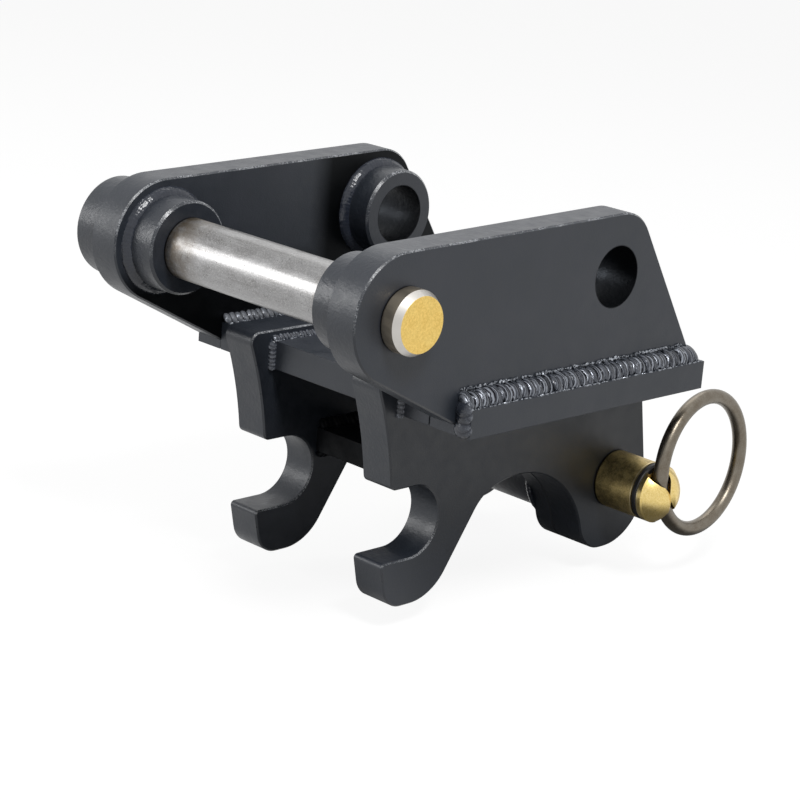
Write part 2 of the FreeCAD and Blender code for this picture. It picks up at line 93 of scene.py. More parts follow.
def add(tree, kind, inputs=None, **settings):
    """A shader node with its settings, and with its sockets given values or linked to other sockets."""
    node = tree.nodes.new(kind)
    for name, value in settings.items():
        setattr(node, name, value)
    for name, value in (inputs or {}).items():
        if isinstance(value, bpy.types.NodeSocket):
            tree.links.new(value, node.inputs[name])
        else:
            node.inputs[name].default_value = value
    return node


def seen_directly(tree):
    """1 for rays from the camera and for mirrored ones, so that metal shows the background too."""
    rays = add(tree, "ShaderNodeLightPath")
    both = add(tree, "ShaderNodeMath", {0: rays.outputs["Is Camera Ray"], 1: rays.outputs["Is Glossy Ray"]},
               operation="MAXIMUM")
    return add(tree, "ShaderNodeMath", {0: both.outputs[0], 1: rays.outputs["Is Transmission Ray"]},
               operation="MAXIMUM").outputs[0]


feet_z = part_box("hook_plate_right")[0].z
bpy.ops.mesh.primitive_plane_add(size=FLOOR_SIZE, location=(0, 0, feet_z - FLOOR_DROP))
floor = bpy.context.object
floor.name = "floor"
floor_paint = bpy.data.materials.new("floor_paint")
floor_paint.use_nodes = True
tree = floor_paint.node_tree
tree.nodes.clear()
diffuse = add(tree, "ShaderNodeBsdfDiffuse", {"Color": FLOOR_COLOUR})

# Where the hitch keeps the light off, mirrored rays find the floor dark. Each patch has its middle and
# its reach in X and Y, and fades out round its edge. The camera itself sees none of this.
spot = add(tree, "ShaderNodeTexCoord").outputs["Object"]
faded_edge = {"From Min": SHADE_EDGE[0], "From Max": SHADE_EDGE[1], "To Min": SHADE_DEPTH}
shade = 1.0
for (x, y), (across, along) in SHADE_PATCHES:
    near = add(tree, "ShaderNodeMapping", {"Vector": spot, "Location": (-x / across, -y / along, 0),
                                           "Scale": (1 / across, 1 / along, 0)}).outputs[0]
    reach = add(tree, "ShaderNodeVectorMath", {0: near}, operation="LENGTH").outputs["Value"]
    open_floor = add(tree, "ShaderNodeMapRange", {"Value": reach, **faded_edge}).outputs[0]
    shade = add(tree, "ShaderNodeMath", {0: open_floor, 1: shade}, operation="MULTIPLY").outputs[0]
from_camera = add(tree, "ShaderNodeLightPath").outputs["Is Camera Ray"]
shade = add(tree, "ShaderNodeMath", {0: shade, 1: from_camera}, operation="MAXIMUM").outputs[0]
seen = add(tree, "ShaderNodeMath", {0: seen_directly(tree), 1: FLOOR_LIFT}, operation="MULTIPLY")
seen = add(tree, "ShaderNodeMath", {0: seen.outputs[0], 1: shade}, operation="MULTIPLY")
lift = add(tree, "ShaderNodeEmission", {"Color": WHITE, "Strength": seen.outputs[0]})
both = add(tree, "ShaderNodeAddShader", {0: diffuse.outputs[0], 1: lift.outputs[0]})
add(tree, "ShaderNodeOutputMaterial", {"Surface": both.outputs[0]})
floor.data.materials.append(floor_paint)

room = bpy.data.worlds.new("room")
bpy.context.scene.world = room
room.use_nodes = True
tree = room.node_tree
tree.nodes.clear()
white = add(tree, "ShaderNodeMix", {"Factor": seen_directly(tree), "A": ROOM_FILL, "B": 1.0})
surround = add(tree, "ShaderNodeBackground", {"Color": WHITE, "Strength": white.outputs[0]})
add(tree, "ShaderNodeOutputWorld", {"Surface": surround.outputs[0]})

for name, place, size, power in SOFT_BOXES:
    box_data = bpy.data.lights.new(name, "AREA")
    box_data.shape = "RECTANGLE"
    box_data.size, box_data.size_y = size
    box_data.energy = power
    box = bpy.data.objects.new(name, box_data)
    bpy.context.collection.objects.link(box)
    box.location = place
    box.rotation_euler = (Vector(place) - LIGHTS_AIM).to_track_quat("Z", "Y").to_euler()

# The ears: two flame-cut plates, ground flat, with their edges just broken, and powder coated in
# charcoal. The coat is satin with a faint orange peel, and has chipped to bright specks on the edges that
# face up, which also carry a painted highlight there.
COAT_COLOUR = (0.021, 0.0265, 0.036, 1)
COAT_PALE = (0.029, 0.034, 0.045, 1)
THIN_COAT_AND_SHEEN = (0.075, 0.082, 0.095, 1)
BARE_EDGE_AND_HIGHLIGHT = (0.55, 0.57, 0.60, 1)
EDGE_TURN_FROM = (0.52, 0.6)
EDGE_TURN_TO = (0.88, 0.8)
# Black for the inside of the link's bore, and for painted shade on the left ear's inner face.
BORE_AND_SHADE_BLACK = (0.004, 0.005, 0.006, 1)
LINK_BORE = (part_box("rear_boss_right")[0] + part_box("rear_boss_right")[1]) / 2
LINK_BORE_RADIUS = 0.01505
INNER_SHADE_BEHIND_Y = (0.094, 0.108)
INNER_SHADE_BELOW_Z = (-0.010, -0.026)


def new_finish(name):
    """A new material with its nodes, its shader and the place on the piece."""
    material = bpy.data.materials.new(name)
    material.use_nodes = True
    tree = material.node_tree
    shader = next(n for n in tree.nodes if n.type == "BSDF_PRINCIPLED")
    place = add(tree, "ShaderNodeTexCoord").outputs["Object"]
    return material, tree, shader, place


def stretched(tree, place, x, y, z):
    """The place with each axis divided by a length, so that a pattern is drawn out along the longer ones."""
    return add(tree, "ShaderNodeMapping", {"Vector": place, "Scale": (1 / x, 1 / y, 1 / z)}).outputs[0]


def noise(tree, place, size, detail=2.0, rough=0.5):
    """Noise whose features are about the given size in metres."""
    return add(tree, "ShaderNodeTexNoise", {"Vector": place, "Scale": 1 / size, "Detail": detail,
                                            "Roughness": rough}).outputs["Fac"]


def drawn_noise(tree, place, x, y, z, detail):
    """Noise drawn out along the axes with the longer lengths."""
    return add(tree, "ShaderNodeTexNoise", {"Vector": stretched(tree, place, x, y, z), "Scale": 1.0,
                                            "Detail": detail}).outputs["Fac"]


def remap(tree, value, low, high, to_low=0.0, to_high=1.0):
    """The value carried from low..high to to_low..to_high, and held at their ends."""
    return add(tree, "ShaderNodeMapRange", {"Value": value, "From Min": low, "From Max": high,
                                            "To Min": to_low, "To Max": to_high}).outputs["Result"]


def combine(tree, operation, a, b=0.0):
    """The two values put together by a mathematical operation."""
    return add(tree, "ShaderNodeMath", {0: a, 1: b}, operation=operation).outputs[0]


def times(tree, *values):
    """The product of all the values."""
    result = values[0]
    for value in values[1:]:
        result = combine(tree, "MULTIPLY", result, value)
    return result


def band(tree, value, middle, faded, full, strength=1.0):
    """A line where the value is within full of the middle, faded out where it is further off than faded."""
    off = combine(tree, "ABSOLUTE", combine(tree, "SUBTRACT", value, middle))
    return remap(tree, off, faded, full, 0.0, strength)


def tint(tree, share, a, b):
    """Colour a, with the given share of colour b over it."""
    return add(tree, "ShaderNodeMix", {"Factor": share, 6: a, 7: b}, data_type="RGBA").outputs[2]


def facing(tree):
    """The X, Y and Z of the surface's own direction."""
    normal = add(tree, "ShaderNodeNewGeometry").outputs["True Normal"]
    return add(tree, "ShaderNodeSeparateXYZ", {0: normal}).outputs


def link(tree, value, shader, socket):
    """The value led into the shader's socket."""
    tree.links.new(value, shader.inputs[socket])


def roughen(tree, shader, height, strength, depth):
    """Bumps of the given height pattern on the shader's surface."""
    bump = add(tree, "ShaderNodeBump", {"Height": height, "Strength": strength, "Distance": depth})
    link(tree, bump.outputs["Normal"], shader, "Normal")
    return bump


def powder_coat(name, peel, round_peel, peel_size=0.0019, gloss=(0.36, 0.47), corner=0.0, inner_shade=None):
    """Charcoal coat with orange peel, deeper on round faces, worn to chips and a thinner film on broken
    edges that face up, where it also carries a painted highlight, black in the link's bore, darkened by
    painted shade where the given function says, and with softened corners if any."""
    material, tree, shader, place = new_finish(name)
    normal_x, _, normal_z = facing(tree)[:3]
    turned = combine(tree, "ABSOLUTE", normal_x)
    clouds = remap(tree, noise(tree, place, 0.028, 4, 0.6), 0.35, 0.65)
    colour = tint(tree, clouds, COAT_COLOUR, COAT_PALE)

    # A broken edge is turned about halfway between the plate's face and its rim.
    broken_edge = times(tree, remap(tree, turned, *EDGE_TURN_FROM), remap(tree, turned, *EDGE_TURN_TO))
    lit_from_above = remap(tree, normal_z, -0.12, 0.3)
    patchy = remap(tree, noise(tree, place, 0.016, 2), 0.42, 0.56, 0.0, 0.10)
    flaws = combine(tree, "ADD", noise(tree, place, 0.0007, 4, 0.75), patchy)
    # Chips and a thinner coat on broken edges that face up: partly wear, partly a painted highlight where
    # the top lamps catch them.
    chips_and_highlight = times(tree, broken_edge, lit_from_above, remap(tree, flaws, 0.55, 0.69))
    thin_coat_and_sheen = times(tree, broken_edge, lit_from_above, remap(tree, noise(tree, place, 0.005, 3), 0.3, 0.7, 0.4, 0.9))
    colour = tint(tree, thin_coat_and_sheen, colour, THIN_COAT_AND_SHEEN)
    colour = tint(tree, chips_and_highlight, colour, BARE_EDGE_AND_HIGHLIGHT)

    from_bore = add(tree, "ShaderNodeMapping", {"Vector": place, "Location": (0, -LINK_BORE.y, -LINK_BORE.z),
                                                "Scale": (0, 1, 1)}).outputs[0]
    reach = add(tree, "ShaderNodeVectorMath", {0: from_bore}, operation="LENGTH").outputs["Value"]
    bore_black_and_shade = remap(tree, reach, LINK_BORE_RADIUS + 0.0005, LINK_BORE_RADIUS + 0.0002, 0.0, 0.8)
    colour = tint(tree, bore_black_and_shade, colour, BORE_AND_SHADE_BLACK)
    if inner_shade:
        # Painted shade: the coat turns black where the given function says.
        shade_share = inner_shade(tree, place)
        colour = tint(tree, shade_share, colour, BORE_AND_SHADE_BLACK)
        bore_black_and_shade = combine(tree, "MAXIMUM", times(tree, shade_share, 0.8), bore_black_and_shade)
    link(tree, colour, shader, "Base Color")
    link(tree, bore_black_and_shade, shader, "Metallic")

    patches = remap(tree, noise(tree, place, 0.007, 3), 0.3, 0.7, *gloss)
    link(tree, combine(tree, "SUBTRACT", patches, times(tree, broken_edge, 0.1)), shader, "Roughness")
    orange = noise(tree, place, peel_size, 2)
    grain = noise(tree, place, 0.0006, 2)
    curved = remap(tree, turned, 0.5, 0.2)
    depth = remap(tree, curved, 0.0, 1.0, peel, round_peel)
    height = combine(tree, "ADD", times(tree, orange, depth), times(tree, grain, 0.3))
    bump = roughen(tree, shader, height, 0.5, 0.0004)
    if corner:
        softened = add(tree, "ShaderNodeBevel", {"Radius": corner}, samples=4).outputs[0]
        tree.links.new(softened, bump.inputs["Normal"])
    return material


def painted_inner_shade(tree, place):
    """Painted shade on the left ear's inner face, low down and behind."""
    inner_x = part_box("ear_left")[1].x
    x, y, z = add(tree, "ShaderNodeSeparateXYZ", {0: place}).outputs[:3]
    behind_or_low = combine(tree, "MAXIMUM", remap(tree, y, *INNER_SHADE_BEHIND_Y), remap(tree, z, *INNER_SHADE_BELOW_Z))
    inner_face = remap(tree, facing(tree)[0], 0.7, 0.95)
    return times(tree, remap(tree, x, inner_x - 0.0012, inner_x - 0.0004), inner_face, behind_or_low)


def dress(node, material):
    """The node's own mesh in the given material."""
    nodes[node].data.materials.clear()
    nodes[node].data.materials.append(material)


plate_coat = powder_coat("plate_coat", 0.16, 0.75)
dress("ear_right", plate_coat)
# The left ear has painted shade on its inner face, low down and behind.
dress("ear_left", powder_coat("shaded_inner_coat", 0.16, 0.75, inner_shade=painted_inner_shade))

# The deck plate between the ears, and the ledge bars welded outside them at its level. They are
# sawn from flat bar, their corners rubbed down, and coated as the ears are.
bar_coat = powder_coat("bar_coat", 0.18, 0.25, corner=0.0008)
for node in ("deck_plate", "ledge_bar_right", "ledge_bar_left"):
    dress(node, bar_coat)

# The bosses: rings turned from bar, welded to the ears round their bores before coating. The coat
# lies thicker and more uneven on them, and looks wet where the light falls on it.
boss_coat = powder_coat("boss_coat", 0.35, 1.0, 0.0021, (0.3, 0.42))
for node in ("outer_boss_left", "front_boss_right", "front_boss_left", "rear_boss_right", "rear_boss_left"):
    dress(node, boss_coat)

# The hook plates: each is cut in one piece with its tab, seat, toe, heel, arch and lobe, and the
# right lobe has a doubler inside. The tube between them guides the lock pin.
for node in ("hook_plate_right", "hook_plate_left", "lobe_doubler_right", "lock_pin_tube"):
    dress(node, plate_coat)

# The spreader bar: a flat bar welded between the hook plates behind their seats. Its coat is dull and
# nearly black, as painted shade for the recess that the light does not reach.
RECESS_SHADE_BLACK = (0.003, 0.0035, 0.004, 1)
RECESS_SHADE_PALE = (0.008, 0.009, 0.011, 1)
shaded_recess_coat, tree, shader, place = new_finish("shaded_recess_coat")
# Painted shade: a near-black colour and little mirror sheen for the unlit recess.
link(tree, tint(tree, noise(tree, place, 0.01, 3), RECESS_SHADE_BLACK, RECESS_SHADE_PALE), shader, "Base Color")
link(tree, remap(tree, noise(tree, place, 0.006, 3), 0.3, 0.7, 0.55, 0.7), shader, "Roughness")
shader.inputs["Specular IOR Level"].default_value = 0.1
roughen(tree, shader, noise(tree, place, 0.0016, 3), 0.3, 0.0003)
dress("spreader_bar", shaded_recess_coat)

# The ledge welds: fillets laid by hand in overlapping puddles, coated with the frame. Each puddle is
# one flattened ball, the run of them is melted together, and bright flakes lie along the toes. A last
# bead runs down the front end of each ledge bar.
WELD_COLOUR = (0.024, 0.030, 0.046, 1)
# Painted highlight for the crests of the beads, and painted shade for their valleys.
WELD_HIGHLIGHT = (0.46, 0.49, 0.55, 1)
WELD_SHADE = (0.006, 0.007, 0.010, 1)
FLAKE_DARK = (0.10, 0.11, 0.13, 1)
FLAKE_COLOUR = (0.50, 0.53, 0.58, 1)
# Where the painted highlight and painted shade fall on the ridges and ripples.
RIDGE_HIGHLIGHT = (0.503, 0.535)
RIDGE_SHADE = (0.5, 0.475)
RIPPLE_HIGHLIGHT = (0.52, 0.62)
RIPPLE_SHADE = (0.49, 0.43)
CRESCENT_BULGE = 45.0
CRESCENT_WANDER = 0.0016
CRESCENTS_PER_METRE = 750.0
RIPPLE_WIDTH = 0.0008
RIPPLE_LENGTH = 0.005
PUDDLE_TILT = 27
PUDDLE_SHIFT_SHARES = (0.1, 0.04, 0.04)
PUDDLE_LEANS = (0.05, 0.05, 0.07)
PUDDLE_SPREAD = 0.08
LEG_SINK_SHARE = 0.42
LEDGE_PITCH = 0.0044
LEDGE_PUDDLE_LENGTH = 0.0048
LEDGE_WIDTH_SHARE = 0.76
LEDGE_HEIGHT_SHARE = 0.37
LEDGE_START_GAP = 0.001
LEDGE_GRAIN = 0.00035
FLAKE_SIZE_SHARES = (0.45, 1.2)
FLAKE_WIDTH_SHARES = (0.4, 1.0)
FLAKE_LEAN = 0.7
FLAKE_JAG_SHARE = 0.22
FLAKE_CROWDS = 19
FLAKE_SPARSE_SHARE = 0.45
FLAKE_CROWDED_SHARE = 0.55
TOE_FLAKE = 0.0009
TOE_FLAKE_COUNT = 320
TOE_SPREAD = (0.0002, 0, 0.0003)
TOE_FROM_EAR = 0.0006
TOE_END_GAP = 0.009
LIP_FLAKE = 0.0008
LIP_FLAKE_COUNT = 260
LIP_SPREAD = (0.0001, 0, 0.00012)
LIP_INSET = 0.0004
FLAKE_SINK = 0.0001
END_PITCH = 0.0036
END_PUDDLE = (0.0046, 0.0050, 0.0026)
END_GRAIN = 0.0003
END_TILT = 12
END_FROM_EAR = 0.0036
END_FOOT_RISE = 0.002
END_HEAD_RISE = 0.001


def ripple_height(tree, place, ripple_axis):
    """Fine ripples square across a bead whose run lies along the given axis."""
    sizes = [RIPPLE_LENGTH] * 3
    sizes["XYZ".index(ripple_axis)] = RIPPLE_WIDTH
    return drawn_noise(tree, place, *sizes, 2.0)


def crescents(tree, place, corner_x, corner_z):
    """Crescent ripples of a bead laid from front to rear in the corner at these places."""
    x, y, z = add(tree, "ShaderNodeSeparateXYZ", {0: place}).outputs[:3]
    outward = combine(tree, "SUBTRACT", combine(tree, "ABSOLUTE", x), corner_x)
    across = combine(tree, "SUBTRACT", outward, combine(tree, "SUBTRACT", z, corner_z))
    bulge = times(tree, across, across, CRESCENT_BULGE)
    wander = times(tree, noise(tree, place, 0.005, 2), CRESCENT_WANDER)
    along = combine(tree, "ADD", combine(tree, "ADD", y, bulge), wander)
    return add(tree, "ShaderNodeTexNoise", {"W": times(tree, along, CRESCENTS_PER_METRE), "Scale": 1.0,
                                            "Detail": 2.5, "Roughness": 0.62},
               noise_dimensions="1D").outputs["Fac"]


def weld_coat(name, highlight_strength, ripple_axis, colour=WELD_COLOUR, corner=None):
    """Glossy coat on a bead, with a painted highlight on its crests and painted shade in its valleys. Its
    ripples cross the run, which lies along the given axis, and are crescents where the fillet's corner is
    given."""
    material, tree, shader, place = new_finish(name)
    ridge = add(tree, "ShaderNodeNewGeometry").outputs["Pointiness"]
    specks = remap(tree, noise(tree, place, 0.0014, 3, 0.7), 0.36, 0.6)
    weld_highlight = times(tree, remap(tree, ridge, *RIDGE_HIGHLIGHT), specks)
    weld_shade = remap(tree, ridge, *RIDGE_SHADE)
    if corner:
        ripples = crescents(tree, place, *corner)
        weld_highlight = combine(tree, "MAXIMUM", weld_highlight, remap(tree, ripples, *RIPPLE_HIGHLIGHT, 0.0, 0.85))
        weld_shade = combine(tree, "MAXIMUM", weld_shade, remap(tree, ripples, *RIPPLE_SHADE))
    else:
        ripples = ripple_height(tree, place, ripple_axis)
    # Painted highlight on the crests; painted shade in the valleys, where a dark metallic base mirrors
    # little.
    weld_highlight = times(tree, weld_highlight, highlight_strength)
    coat = tint(tree, weld_shade, colour, WELD_SHADE)
    link(tree, tint(tree, weld_highlight, coat, WELD_HIGHLIGHT), shader, "Base Color")
    link(tree, times(tree, combine(tree, "MAXIMUM", weld_highlight, weld_shade), 0.9), shader, "Metallic")
    shader.inputs["Roughness"].default_value = 0.2
    roughen(tree, shader, ripples, 0.6, 0.0005)
    return material


def join_copies(name, first, matrices):
    """One object with a copy of the first one's mesh at each matrix."""
    copies = []
    for matrix in matrices:
        ball = bpy.data.objects.new(name, first.data.copy())
        ball.matrix_world = matrix
        bpy.context.collection.objects.link(ball)
        copies.append(ball)
    bpy.data.objects.remove(first)
    bpy.ops.object.select_all(action="DESELECT")
    for ball in copies:
        ball.select_set(True)
    bpy.context.view_layer.objects.active = copies[0]
    bpy.ops.object.join()
    bpy.ops.object.transform_apply(location=True, rotation=True, scale=True)
    joined = bpy.context.object
    joined.name = name
    return joined


def melted_run(name, places, puddle, grain, seed, material, tilt=PUDDLE_TILT, uneven=1.0):
    """A flattened ball laid at each place, with some unevenness, and all of them melted into one bead."""
    draw = random.Random(seed)
    bpy.ops.object.select_all(action="DESELECT")
    bpy.ops.mesh.primitive_uv_sphere_add(segments=24, ring_count=14, radius=1)
    parts = []
    for place in places:
        shift = [draw.gauss(0, share) * uneven * reach for share, reach in zip(PUDDLE_SHIFT_SHARES, puddle)]
        lean = [draw.gauss(0, spread) * uneven for spread in PUDDLE_LEANS]
        lean = Euler((lean[0], math.radians(tilt) + lean[1], lean[2]))
        size = [reach * (1 + draw.uniform(-PUDDLE_SPREAD, PUDDLE_SPREAD) * uneven) for reach in puddle]
        parts.append(place @ Matrix.LocRotScale(shift, lean, size))
    bead = join_copies(name, bpy.context.object, parts)
    melt = bead.modifiers.new("melt", "REMESH")
    melt.mode = "VOXEL"
    melt.voxel_size = grain
    melt.use_smooth_shade = True
    soften = bead.modifiers.new("soften", "SMOOTH")
    soften.factor = 0.5
    soften.iterations = 2
    bpy.ops.object.modifier_apply(modifier="melt")
    bpy.ops.object.modifier_apply(modifier="soften")
    bead.data.materials.append(material)
    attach(bead, "frame")
    return bead


def straight_run(start, end, side_a, side_b, pitch, sink):
    """Places along a fillet's corner. X lies along the weld's run and Z points out of the corner."""
    run = (end - start).normalized()
    out = (side_a + side_b).normalized()
    across = out.cross(run)
    count = max(1, round((end - start).length / pitch))
    turn = Matrix((run, across, out)).transposed().to_4x4()
    return [Matrix.Translation(start + (end - start) * ((k + 0.5) / count) + out * sink) @ turn
            for k in range(count)]


flake_metal, tree, shader, place = new_finish("weld_flakes")
shader.inputs["Metallic"].default_value = 0.35
flake_clouds = remap(tree, noise(tree, place, 0.003, 3), 0.35, 0.65)
link(tree, tint(tree, flake_clouds, FLAKE_DARK, FLAKE_COLOUR), shader, "Base Color")
shader.inputs["Roughness"].default_value = 0.3


def flakes(name, spots, size, seed):
    """Small jagged flakes at the given spots, each as long as about the given size."""
    draw = random.Random(seed)
    bpy.ops.object.select_all(action="DESELECT")
    bpy.ops.mesh.primitive_ico_sphere_add(subdivisions=1, radius=1)
    parts = []
    for spot in spots:
        scale = size * draw.uniform(*FLAKE_SIZE_SHARES)
        lean = Euler([draw.uniform(-FLAKE_LEAN, FLAKE_LEAN) for _ in range(3)])
        extent = (scale * 0.5, scale * draw.uniform(*FLAKE_WIDTH_SHARES), scale * 0.55)
        parts.append(Matrix.LocRotScale(spot, lean, extent))
    scrap = join_copies(name, bpy.context.object, parts)
    bpy.ops.object.mode_set(mode="EDIT")
    bpy.ops.mesh.select_all(action="SELECT")
    bpy.ops.transform.vertex_random(offset=size * FLAKE_JAG_SHARE, seed=seed)
    bpy.ops.object.mode_set(mode="OBJECT")
    scrap.data.materials.append(flake_metal)
    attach(scrap, "frame")


def scattered(start, end, spread, count, seed):
    """Spots along a line, a little off it, and crowded in some stretches."""
    draw = random.Random(seed)
    spots = []
    while len(spots) < count:
        share = draw.random()
        crowding = math.sin(share * FLAKE_CROWDS + seed) ** 2
        if draw.random() < FLAKE_SPARSE_SHARE + FLAKE_CROWDED_SHARE * crowding:
            spots.append(start.lerp(end, share) + Vector([draw.gauss(0, s) for s in spread]))
    return spots


rise = Vector((0, 0, 1))
rearward = Vector((0, 1, 0))
low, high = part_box("ledge_weld_right")
ledge_coat = weld_coat("ledge_weld_coat", 0.8, "Y", corner=(low.x, low.z))
end_coat = weld_coat("ledge_end_coat", 0.7, "Z")
for side, sign in (("right", 1), ("left", -1)):
    node = "ledge_weld_" + side
    low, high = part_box(node)
    leg = high.z - low.z
    face_x = sign * min(abs(low.x), abs(high.x))
    edge_x = sign * max(abs(low.x), abs(high.x))
    start = Vector((face_x, low.y + LEDGE_START_GAP, low.z))
    end = Vector((face_x, high.y, low.z))
    outward = Vector((sign, 0, 0))
    places = straight_run(start, end, outward, rise, LEDGE_PITCH, leg * LEG_SINK_SHARE)
    puddle = (LEDGE_PUDDLE_LENGTH, leg * LEDGE_WIDTH_SHARE, leg * LEDGE_HEIGHT_SHARE)
    bead = melted_run(node + "_bead", places, puddle, LEDGE_GRAIN, 11 + sign, ledge_coat)
    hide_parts(node)
    toe = Vector((face_x + sign * TOE_FROM_EAR, 0, high.z - FLAKE_SINK))
    spots = scattered(toe + rearward * low.y, toe + rearward * (high.y - TOE_END_GAP),
                      TOE_SPREAD, TOE_FLAKE_COUNT, 3 + sign)
    flakes(node + "_flakes", spots, TOE_FLAKE, 21 + sign)
    lip = Vector((edge_x - sign * LIP_INSET, 0, low.z + FLAKE_SINK))
    spots = scattered(lip + rearward * low.y, lip + rearward * high.y, LIP_SPREAD, LIP_FLAKE_COUNT, 7 + sign)
    flakes(node + "_lip_flakes", spots, LIP_FLAKE, 25 + sign)
    bar_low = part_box("ledge_bar_" + side)[0]
    middle_x = face_x + sign * END_FROM_EAR
    foot = Vector((middle_x, bar_low.y, bar_low.z + END_FOOT_RISE))
    head = Vector((middle_x, bar_low.y, low.z + END_HEAD_RISE))
    melted_run(node + "_end_bead", straight_run(foot, head, -rearward, -rearward, END_PITCH, 0.0),
               END_PUDDLE, END_GRAIN, 31 + sign, end_coat, tilt=END_TILT)

# The foot welds: the fillets that join the ears to the deck plate inside the hitch, laid as the
# ledge welds are, in a paler coat colour.
FOOT_COLOUR = (0.15, 0.16, 0.18, 1)
FOOT_PITCH = 0.0034
FOOT_LEG_SHARE = 0.6
FOOT_PUDDLE_LENGTH = 0.0038
FOOT_WIDTH_SHARE = 0.70
FOOT_HEIGHT_SHARE = 0.36
FOOT_GRAIN = 0.00035
FOOT_FLAKE = 0.0010
FOOT_FLAKE_COUNT = 110
FOOT_SPREAD = (0.0004, 0, 0.0001)
FOOT_FLAKE_RISE = 0.0002
foot_coat = weld_coat("foot_weld_coat", 1.0, "Y", FOOT_COLOUR)
for side, sign in (("right", 1), ("left", -1)):
    node = "foot_weld_" + side
    low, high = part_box(node)
    leg = (high.z - low.z) * FOOT_LEG_SHARE
    face_x = sign * max(abs(low.x), abs(high.x))
    start = Vector((face_x, low.y, low.z))
    end = Vector((face_x, high.y, low.z))
    inward = Vector((-sign, 0, 0))
    places = straight_run(start, end, inward, rise, FOOT_PITCH, leg * LEG_SINK_SHARE)
    puddle = (FOOT_PUDDLE_LENGTH, leg * FOOT_WIDTH_SHARE, leg * FOOT_HEIGHT_SHARE)
    bead = melted_run(node + "_bead", places, puddle, FOOT_GRAIN, 41 + sign, foot_coat)
    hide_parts(node)
    toe = Vector((face_x - sign * leg, 0, low.z + FOOT_FLAKE_RISE))
    spots = scattered(toe + rearward * low.y, toe + rearward * high.y,
                      FOOT_SPREAD, FOOT_FLAKE_COUNT, 17 + sign)
    flakes(node + "_flakes", spots, FOOT_FLAKE, 43 + sign)

# The hook welds: narrow fillets round the tabs on the deck and down its front edge, and wider ones
# along the hook plates under the deck.
TAB_PITCH = 0.0021
TAB_SINK = 0.0008
TAB_PUDDLE = (0.0023, 0.0025, 0.0014)
TAB_GRAIN = 0.0003
TAB_FLAKE = 0.0008
TAB_FLAKE_COUNT = 60
TAB_SPREAD = (0.0002, 0, 0.0001)
TAB_TOE = 0.0026
UNDER_PITCH = 0.0034
UNDER_SINK = 0.0024
UNDER_PUDDLE = (0.0038, 0.0042, 0.0022)
UNDER_GRAIN = 0.0004
small_coat = weld_coat("hook_weld_coat", 0.8, "Y")
deck_low, deck_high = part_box("deck_plate")
for side, sign in (("right", 1), ("left", -1)):
    node = "tab_welds_" + side
    rear_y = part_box(node)[1].y
    plate_low, plate_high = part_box("hook_plate_" + side)
    places, toes = [], []
    for face_x, away in ((plate_low.x, -1), (plate_high.x, 1)):
        aside = Vector((away, 0, 0))
        under = Vector((face_x, deck_low.y, deck_low.z))
        front = Vector((face_x, deck_low.y, deck_high.z))
        rear = Vector((face_x, rear_y, deck_high.z))
        places += straight_run(front, rear, aside, rise, TAB_PITCH, TAB_SINK)
        places += straight_run(under, front, aside, -rearward, TAB_PITCH, TAB_SINK)
        toe = aside * TAB_TOE + rise * FLAKE_SINK
        toes += scattered(front + toe, rear + toe, TAB_SPREAD, TAB_FLAKE_COUNT, 51 + away)
    bead = melted_run(node + "_bead", places, TAB_PUDDLE, TAB_GRAIN, 53 + sign, small_coat)
    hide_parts(node)
    flakes(node + "_flakes", toes, TAB_FLAKE, 55 + sign)

    node = "under_welds_" + side
    low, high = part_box(node)
    places = []
    for face_x, away in ((plate_low.x, -1), (plate_high.x, 1)):
        places += straight_run(Vector((face_x, low.y, high.z)), Vector((face_x, high.y, high.z)),
                               Vector((away, 0, 0)), -rise, UNDER_PITCH, UNDER_SINK)
    bead = melted_run(node + "_bead", places, UNDER_PUDDLE, UNDER_GRAIN, 57 + sign, small_coat)
    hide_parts(node)

# The round welds: fillets turned round the bosses on the ears and round the ends of the lock pin's
# tube. They are smoother than the straight ones, with finer ripples.
BOSS_LEG = 0.0045
TUBE_LEG = 0.005
ROUND_PITCH_SHARE = 0.36
ROUND_SINK_SHARE = 0.36
ROUND_PUDDLE_SHARES = (0.62, 0.72, 0.34)
ROUND_GRAIN = 0.00035
ROUND_TILT = 9
ROUND_UNEVEN = 0.4
ring_coat = weld_coat("round_weld_coat", 0.12, "X")


def ring_run(face_x, towards, radius, centre, pitch, sink):
    """Places round a boss or tube that stands on a face square to X."""
    count = round(2 * math.pi * radius / pitch)
    places = []
    for k in range(count):
        angle = 2 * math.pi * k / count
        away = Vector((0, math.cos(angle), math.sin(angle)))
        run = Vector((0, -math.sin(angle), math.cos(angle)))
        out = (away + Vector((towards, 0, 0))).normalized()
        spot = Vector((face_x, centre[0], centre[1])) + away * radius + out * sink
        places.append(Matrix.Translation(spot) @ Matrix((run, out.cross(run), out)).transposed().to_4x4())
    return places


def round_bead(node, rings, leg, seed):
    """A bead of the given leg on each ring, in the stead of the node."""
    places = []
    pitch, sink = leg * ROUND_PITCH_SHARE, leg * ROUND_SINK_SHARE
    for face_x, towards, radius, centre in rings:
        places += ring_run(face_x, towards, radius, centre, pitch, sink)
    puddle = [leg * share for share in ROUND_PUDDLE_SHARES]
    bead = melted_run(node + "_bead", places, puddle, ROUND_GRAIN, seed, ring_coat,
                      tilt=ROUND_TILT, uneven=ROUND_UNEVEN)
    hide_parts(node)


